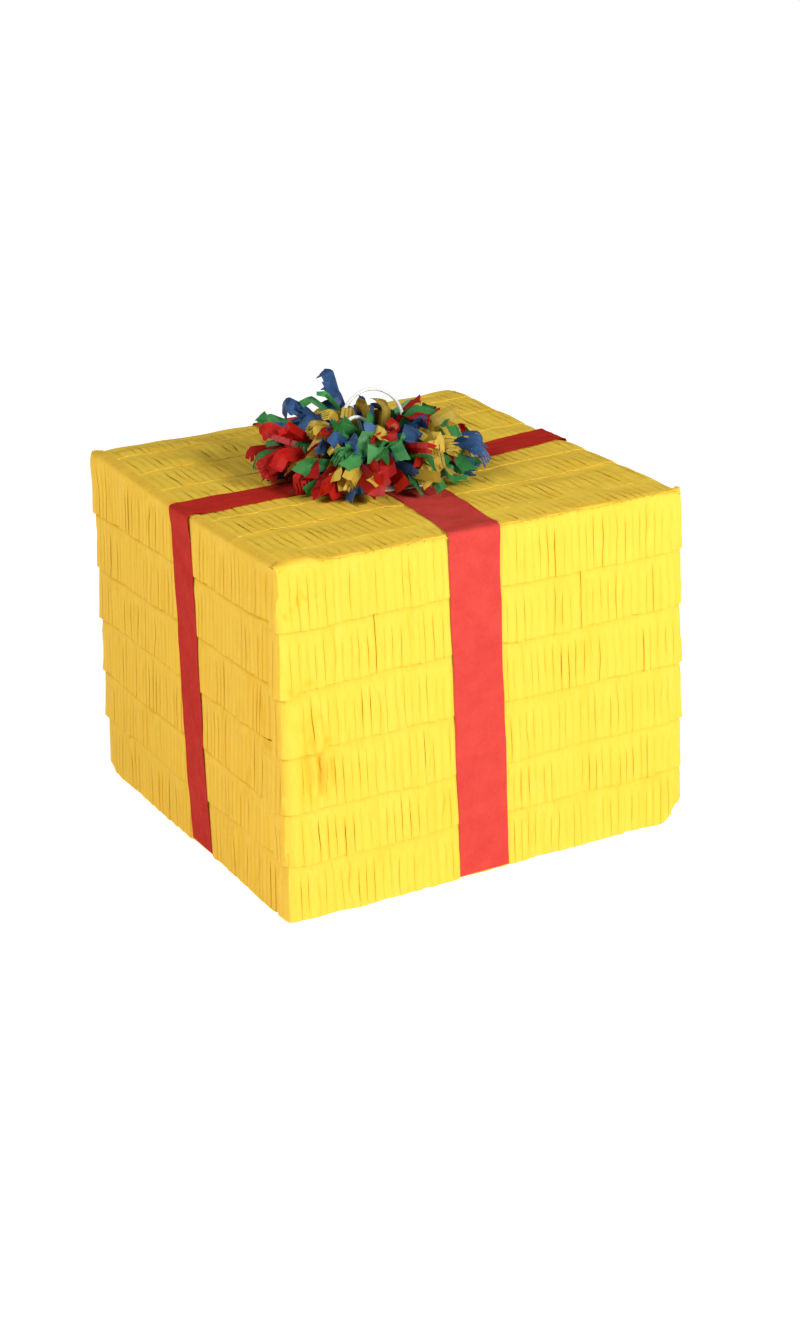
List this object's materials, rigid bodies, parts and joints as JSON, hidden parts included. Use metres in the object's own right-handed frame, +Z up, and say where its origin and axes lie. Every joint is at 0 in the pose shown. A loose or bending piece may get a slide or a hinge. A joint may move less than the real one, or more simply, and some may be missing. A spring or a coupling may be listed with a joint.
{
  "type": "pinata",
  "caption": "Gift-box pinata: a cardboard box covered in fringed yellow crepe with crossed red ribbons, a tissue pom-pom, a hanging cord and a fill flap at the back.",
  "frame": {"origin": "middle of the base, on the surface that the pinata stands on", "axes": "+Z up, through the lid and the pom-pom; -Y is the front, with the ribbon that runs front to back; +X is the right side; the fill flap is in the back, at +Y"},
  "size_m": [0.3014, 0.3014, 0.316],
  "materials": {
    "cardboard": "matte",
    "wrap_paper": "matte",
    "yellow_crepe": "satin",
    "red_crepe": "satin",
    "tissue_red": "satin",
    "tissue_blue": "satin",
    "tissue_green": "satin",
    "tissue_yellow": "satin",
    "paper_tape": "satin",
    "dowel_wood": "matte",
    "white_cord": "matte",
    "disc_card": "matte"
  },
  "bodies": {
    "shell": {"anchor_dowel": "dowel_wood", "anchor_plate": "cardboard", "back_panel": "cardboard", "back_row_1": "yellow_crepe", "back_row_2": "yellow_crepe", "back_row_3": "yellow_crepe", "back_row_4": "yellow_crepe", "back_row_5": "yellow_crepe", "back_row_6": "yellow_crepe", "base_sheet": "wrap_paper", "bottom_panel": "cardboard", "cord_knot": "white_cord", "cord_turns": "white_cord", "dowel_tapes": "paper_tape", "front_panel": "cardboard", "front_row_1": "yellow_crepe", "front_row_2": "yellow_crepe", "front_row_3": "yellow_crepe", "front_row_4": "yellow_crepe", "front_row_5": "yellow_crepe", "front_row_6": "yellow_crepe", "hanging_loop_front": "white_cord", "hanging_loop_rear": "white_cord", "left_panel": "cardboard", "left_row_1": "yellow_crepe", "left_row_2": "yellow_crepe", "left_row_3": "yellow_crepe", "left_row_4": "yellow_crepe", "left_row_5": "yellow_crepe", "left_row_6": "yellow_crepe", "lid_row_1": "yellow_crepe", "lid_row_2": "yellow_crepe", "lid_row_3": "yellow_crepe", "lid_row_4": "yellow_crepe", "lid_row_5": "yellow_crepe", "lid_row_6": "yellow_crepe", "lid_row_7": "yellow_crepe", "lid_row_8": "yellow_crepe", "pompom_disc": "disc_card", "ribbon_front_back": "red_crepe", "ribbon_left_right": "red_crepe", "right_panel": "cardboard", "right_row_1": "yellow_crepe", "right_row_2": "yellow_crepe", "right_row_3": "yellow_crepe", "right_row_4": "yellow_crepe", "right_row_5": "yellow_crepe", "right_row_6": "yellow_crepe", "seam_tapes": "paper_tape", "tissue_blue": "tissue_blue", "tissue_green": "tissue_green", "tissue_red": "tissue_red", "tissue_yellow": "tissue_yellow", "top_panel": "cardboard", "wrap_lid": "wrap_paper", "wrap_sides": "wrap_paper"},
    "fill_flap": {"flap_panel": "cardboard", "flap_wrap": "wrap_paper", "flap_row_2": "yellow_crepe", "flap_row_3": "yellow_crepe"}
  },
  "joints": [
    {"name": "fill_flap_hinge", "type": "hinge", "parent": "shell", "child": "fill_flap", "pos_m": [0.0795, 0.1501, 0.1985], "axis": [1, 0, 0], "range_deg": [0, 120]}
  ]
}
